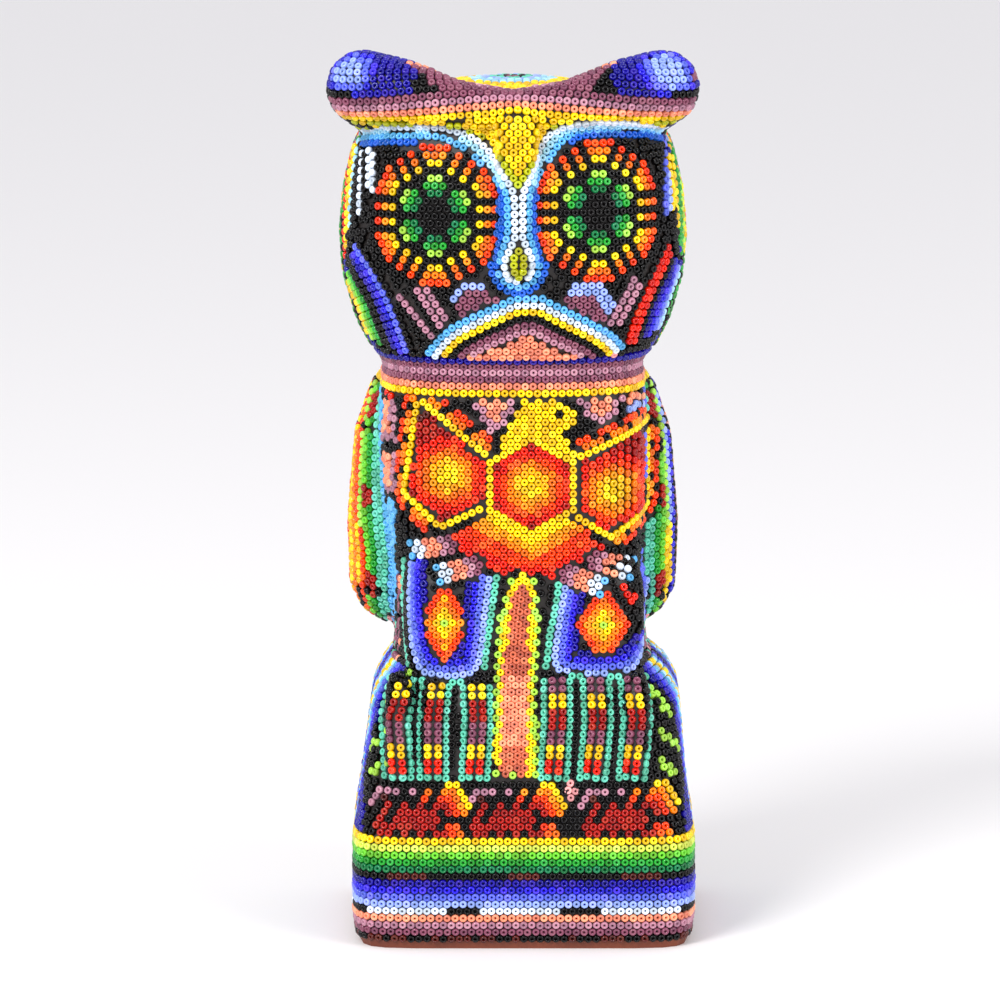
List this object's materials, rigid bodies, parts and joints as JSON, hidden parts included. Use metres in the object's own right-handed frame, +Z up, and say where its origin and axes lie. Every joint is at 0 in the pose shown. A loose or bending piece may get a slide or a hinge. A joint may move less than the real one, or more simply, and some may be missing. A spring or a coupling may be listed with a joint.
{
  "type": "beaded owl figure",
  "caption": "Standing horned owl figure on a rectangular plinth, carved in wood, coated with beeswax and covered all over with rows of small glass beads in folk-art motifs.",
  "frame": {"origin": "middle of the base block's underside", "axes": "+Z up the figure, front of the owl faces -Y, +X is to the right as seen from the front"},
  "size_m": [0.1026, 0.0867, 0.2436],
  "materials": {
    "carved_wood": "bare reddish-brown softwood, sanded, seen only at the bottom edge and underside",
    "beeswax": "dark resin-darkened beeswax, seen in the gaps between beads",
    "plinth_earth_beads": "opaque glossy glass seed beads, mixed colours",
    "plinth_dash_beads": "opaque glossy glass seed beads, mixed colours",
    "plinth_blue_beads": "opaque glossy glass seed beads, mixed colours",
    "plinth_green_beads": "opaque glossy glass seed beads, mixed colours",
    "left_deer_beads": "opaque glossy glass seed beads, mixed colours",
    "middle_deer_beads": "opaque glossy glass seed beads, mixed colours",
    "right_deer_beads": "opaque glossy glass seed beads, mixed colours",
    "frieze_ground_beads": "opaque glossy glass seed beads, mixed colours",
    "left_mound_beads": "opaque glossy glass seed beads, mixed colours",
    "right_mound_beads": "opaque glossy glass seed beads, mixed colours",
    "mound_back_beads": "opaque glossy glass seed beads, mixed colours",
    "left_toe_beads": "opaque glossy glass seed beads, mixed colours",
    "right_toe_beads": "opaque glossy glass seed beads, mixed colours",
    "toe_ground_beads": "opaque glossy glass seed beads, mixed colours",
    "belly_strip_beads": "opaque glossy glass seed beads, mixed colours",
    "left_leg_beads": "opaque glossy glass seed beads, mixed colours",
    "right_leg_beads": "opaque glossy glass seed beads, mixed colours",
    "left_diamond_beads": "opaque glossy glass seed beads, mixed colours",
    "right_diamond_beads": "opaque glossy glass seed beads, mixed colours",
    "eagle_heart_beads": "opaque glossy glass seed beads, mixed colours",
    "eagle_left_wing_beads": "opaque glossy glass seed beads, mixed colours",
    "eagle_right_wing_beads": "opaque glossy glass seed beads, mixed colours",
    "eagle_head_beads": "opaque glossy glass seed beads, mixed colours",
    "eagle_tail_beads": "opaque glossy glass seed beads, mixed colours",
    "chest_ground_beads": "opaque glossy glass seed beads, mixed colours",
    "collar_beads": "opaque glossy glass seed beads, mixed colours",
    "left_wing_beads": "opaque glossy glass seed beads, mixed colours",
    "right_wing_beads": "opaque glossy glass seed beads, mixed colours",
    "body_back_beads": "opaque glossy glass seed beads, mixed colours",
    "mouth_beads": "opaque glossy glass seed beads, mixed colours",
    "lip_arch_beads": "opaque glossy glass seed beads, mixed colours",
    "nose_band_beads": "opaque glossy glass seed beads, mixed colours",
    "nose_drop_beads": "opaque glossy glass seed beads, mixed colours",
    "left_eye_beads": "opaque glossy glass seed beads, mixed colours",
    "right_eye_beads": "opaque glossy glass seed beads, mixed colours",
    "left_cheek_beads": "opaque glossy glass seed beads, mixed colours",
    "right_cheek_beads": "opaque glossy glass seed beads, mixed colours",
    "forehead_beads": "opaque glossy glass seed beads, mixed colours",
    "brow_beads": "opaque glossy glass seed beads, mixed colours",
    "left_ear_beads": "opaque glossy glass seed beads, mixed colours",
    "right_ear_beads": "opaque glossy glass seed beads, mixed colours",
    "head_back_beads": "opaque glossy glass seed beads, mixed colours"
  },
  "bodies": {
    "root": {"wooden_core": "carved_wood", "beeswax_coat": "beeswax", "plinth_earth_beads": "plinth_earth_beads", "plinth_dash_beads": "plinth_dash_beads", "plinth_blue_beads": "plinth_blue_beads", "plinth_green_beads": "plinth_green_beads", "left_deer_beads": "left_deer_beads", "middle_deer_beads": "middle_deer_beads", "right_deer_beads": "right_deer_beads", "frieze_ground_beads": "frieze_ground_beads", "left_mound_beads": "left_mound_beads", "right_mound_beads": "right_mound_beads", "mound_back_beads": "mound_back_beads", "left_toe_beads": "left_toe_beads", "right_toe_beads": "right_toe_beads", "toe_ground_beads": "toe_ground_beads", "belly_strip_beads": "belly_strip_beads", "left_leg_beads": "left_leg_beads", "right_leg_beads": "right_leg_beads", "left_diamond_beads": "left_diamond_beads", "right_diamond_beads": "right_diamond_beads", "eagle_heart_beads": "eagle_heart_beads", "eagle_left_wing_beads": "eagle_left_wing_beads", "eagle_right_wing_beads": "eagle_right_wing_beads", "eagle_head_beads": "eagle_head_beads", "eagle_tail_beads": "eagle_tail_beads", "chest_ground_beads": "chest_ground_beads", "collar_beads": "collar_beads", "left_wing_beads": "left_wing_beads", "right_wing_beads": "right_wing_beads", "body_back_beads": "body_back_beads", "mouth_beads": "mouth_beads", "lip_arch_beads": "lip_arch_beads", "nose_band_beads": "nose_band_beads", "nose_drop_beads": "nose_drop_beads", "left_eye_beads": "left_eye_beads", "right_eye_beads": "right_eye_beads", "left_cheek_beads": "left_cheek_beads", "right_cheek_beads": "right_cheek_beads", "forehead_beads": "forehead_beads", "brow_beads": "brow_beads", "left_ear_beads": "left_ear_beads", "right_ear_beads": "right_ear_beads", "head_back_beads": "head_back_beads"}
  },
  "joints": []
}
